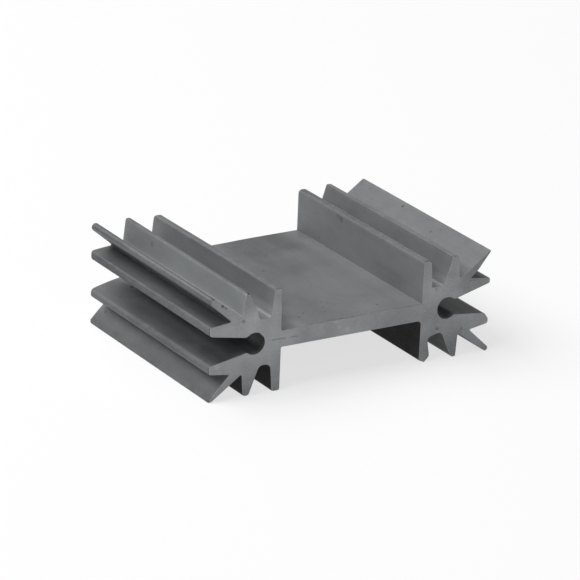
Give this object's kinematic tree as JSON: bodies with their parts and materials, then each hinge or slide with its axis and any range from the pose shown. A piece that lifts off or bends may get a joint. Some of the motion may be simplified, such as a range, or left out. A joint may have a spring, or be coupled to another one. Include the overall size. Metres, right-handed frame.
{
  "type": "heat sink",
  "caption": "Extruded aluminium heat sink: a flat plate for a power device with splayed fins along both sides and a round pin groove in each side.",
  "frame": {"origin": "middle of the bar: halfway along the extrusion, on the middle plane of the plate, halfway between the outer fin tips", "axes": "+X across the section from one fin block to the other, +Y along the extrusion, +Z square to the plate"},
  "size_m": [0.0336, 0.0254, 0.0112],
  "materials": {
    "extruded_aluminium": "matte grey as extruded, with fine lines along the extrusion and finely sawn cut faces"
  },
  "bodies": {
    "root": {"heat_sink": "extruded_aluminium"}
  },
  "joints": []
}
